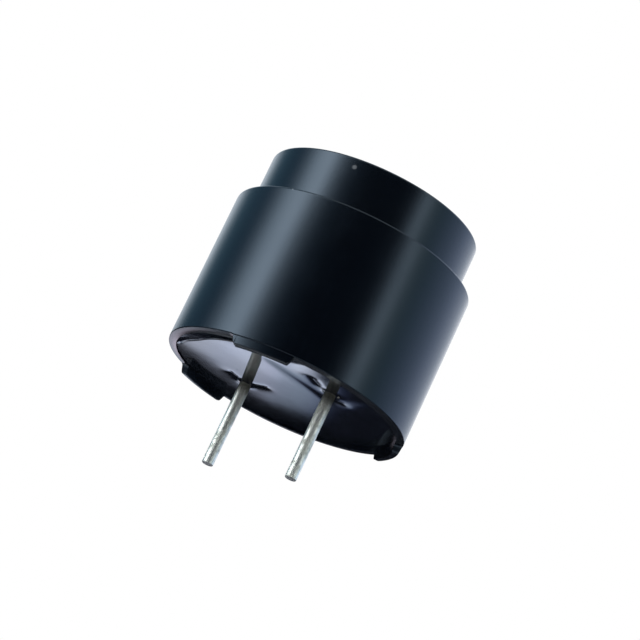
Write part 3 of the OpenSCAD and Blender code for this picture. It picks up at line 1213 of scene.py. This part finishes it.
@dataclass
class Studio:
    """White ground, the tent that the gloss reflects, and the lamps."""

    azimuth: float
    ground_z: float = -125.0
    ground_side: float = 2400.0
    ground_pale: Colour = (0.93, 0.93, 0.93)
    ground_white: Colour = (0.96, 0.96, 0.96)
    strength: float = 5.0
    top_fade: float = 3.0
    facet: float = 4.0
    fill: Colour = (0.97, 0.985, 1.0)
    fill_strength: float = 0.75
    cloths: tuple[TentCloth, ...] = TENT
    lamps: tuple[SoftLamp, ...] = (
        SoftLamp("key_lamp", 200.0, 35.0, 320.0, 180.0, 0.25),
        SoftLamp("fill_lamp", 330.0, 20.0, 360.0, 240.0, 0.12),
    )

    def _ramp(self, graph: Graph, share: Signal, stops: Stops) -> Signal:
        """A colour ramp over 0 to 1, whose stops stand at places in degrees."""
        first, last = stops[0][0], stops[-1][0]
        shares = [((place - first) / (last - first), colour) for place, colour in stops]
        return graph.node("ShaderNodeValToRGB", {"stops": shares}, {0: share})

    def _cloth_glow(self, cloth: TentCloth) -> Material:
        """The cloth's material, which glows by its stops and its fades.

        Args:
            cloth: the cloth.

        Returns:
            The material.
        """
        graph = Graph.of_material(cloth.name)
        across, up, _ = graph.axes(graph.node("ShaderNodeUVMap", {"uv_map": "ramp"}))
        dimmed = tuple((place, times(light, 1.0 / self.strength)) for place, light in cloth.stops)
        light = self._ramp(graph, across, dimmed)
        if cloth.fades:
            greys = tuple((place, times(WHITE, part / self.top_fade)) for place, part in cloth.fades)
            light = graph.scaled(graph.product(light, self._ramp(graph, up, greys)), self.top_fade)
        sockets = {"Color": light, "Strength": self.strength}
        return graph.output(graph.node("ShaderNodeEmission", sockets=sockets))

    def _hang(self, cloth: TentCloth) -> Object:
        """Hangs one cloth of the tent.

        Args:
            cloth: the cloth.

        Returns:
            Its object, which the camera doesn't see.
        """
        right, left = cloth.stops[0][0], cloth.stops[-1][0]
        wide = max(2, math.ceil((left - right) / self.facet))
        tall = max(2, math.ceil((cloth.high - cloth.low) / self.facet))
        points, faces, shares = [], [], []
        for i in range(wide + 1):
            aside = (left - right) * i / wide
            turn = right + aside + self.azimuth
            for j in range(tall + 1):
                up = cloth.low + (cloth.high - cloth.low) * j / tall + cloth.lean * aside
                points.append(tuple(cloth.reach * part for part in direction(turn, up)))
                shares.append((i / wide, j / tall))
        for i in range(wide):
            for j in range(tall):
                a = i * (tall + 1) + j
                faces.append((a, a + 1, a + tall + 2, a + tall + 1))
        sheet = mesh_piece(cloth.name, points, faces)
        layer = sheet.data.uv_layers.new(name="ramp")
        for loop in sheet.data.loops:
            layer.data[loop.index].uv = shares[loop.vertex_index]
        sheet.data.materials.append(self._cloth_glow(cloth))
        sheet.visible_camera = sheet.visible_diffuse = sheet.visible_shadow = False
        sheet.visible_transmission = False
        return sheet

    def _ground(self) -> Object:
        """Makes the pale floor."""
        half = self.ground_side / 2
        corners = [(-half, -half), (half, -half), (half, half), (-half, half)]
        ground = mesh_piece("ground", [(x, y, self.ground_z) for x, y in corners], [(0, 1, 2, 3)])
        graph = Graph.of_material("ground_white")
        cloud = graph.noise(per_mm=0.01, octaves=2.0, rough=0.5)
        colour = graph.blend(cloud, self.ground_pale, self.ground_white)
        ground.data.materials.append(graph.surface(Base_Color=colour, Roughness=0.9))
        return ground

    def _world(self) -> None:
        """White behind everything, and an even light from all round."""
        world = bpy.data.worlds.new("studio_world")
        bpy.context.scene.world = world
        graph = Graph(world)
        to_camera = graph.node("ShaderNodeLightPath", output="Is Camera Ray")
        plain = to_camera + graph.sibling(to_camera, "Is Glossy Ray")
        fill, seen = (
            graph.node("ShaderNodeBackground", sockets={"Color": colour, "Strength": strength})
            for colour, strength in ((self.fill, self.fill_strength), (WHITE, 1.0))
        )
        both = graph.node("ShaderNodeMixShader", sockets={0: plain, 1: fill, 2: seen})
        graph.node("ShaderNodeOutputWorld", sockets={"Surface": both})

    def build(self) -> None:
        """Makes the floor, the world, the tent and the lamps."""
        self._ground()
        self._world()
        for cloth in self.cloths:
            self._hang(cloth)
        for lamp in self.lamps:
            lamp.hang(self.azimuth)


@dataclass
class ViewCamera:
    """The camera, below the rim and rolled, so that the buzzer leans to the right."""

    azimuth: float = 48.96
    elevation: float = -17.09
    roll: float = 25.49
    reach: float = 175.5
    pan_right: float = 2.161
    pan_up: float = 4.548
    rim_z: float = 0.5
    lens: float = 159.54
    sensor: float = 36.0
    near: float = 0.005
    far: float = 5.0

    def build(self) -> Object:
        """Makes the camera and makes it the scene's."""
        data = bpy.data.cameras.new("view_camera")
        data.lens = self.lens
        data.sensor_width = self.sensor
        data.clip_start, data.clip_end = self.near, self.far
        camera = bpy.data.objects.new("view_camera", data)
        bpy.context.scene.collection.objects.link(camera)
        back = Vector(direction(self.azimuth - 90.0, self.elevation))
        roll = Matrix.Rotation(math.radians(self.roll), 3, "Z")
        turn = (-back).to_track_quat("-Z", "Y").to_matrix() @ roll
        place = Vector((0.0, 0.0, self.rim_z)) + back * self.reach
        place += turn.col[0] * self.pan_right + turn.col[1] * self.pan_up
        camera.matrix_world = Matrix.Translation(place * MM) @ turn.to_4x4()
        bpy.context.scene.camera = camera
        return camera


# ---------------- the whole


def report(pieces: Iterable[Object]) -> None:
    """Logs each piece with its size."""
    for piece in pieces:
        size = [round(s / MM, 2) for s in piece.dimensions]
        LOG.info("%s: %s mm, %d faces", piece.name, size, len(piece.data.polygons))


def main() -> None:
    """Builds the camera, the studio and every sub-assembly."""
    logging.basicConfig(level=logging.INFO, format="%(name)s: %(message)s")
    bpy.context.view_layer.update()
    bpy.context.scene.view_settings.view_transform = "Standard"
    camera = ViewCamera()
    camera.build()
    Studio(azimuth=camera.azimuth).build()
    report([CaseShell().build()])
    report([ResinFill().build()])
    report(WirePins().build())
    report(SealedWorks().build())


if __name__ == "__main__":
    main()
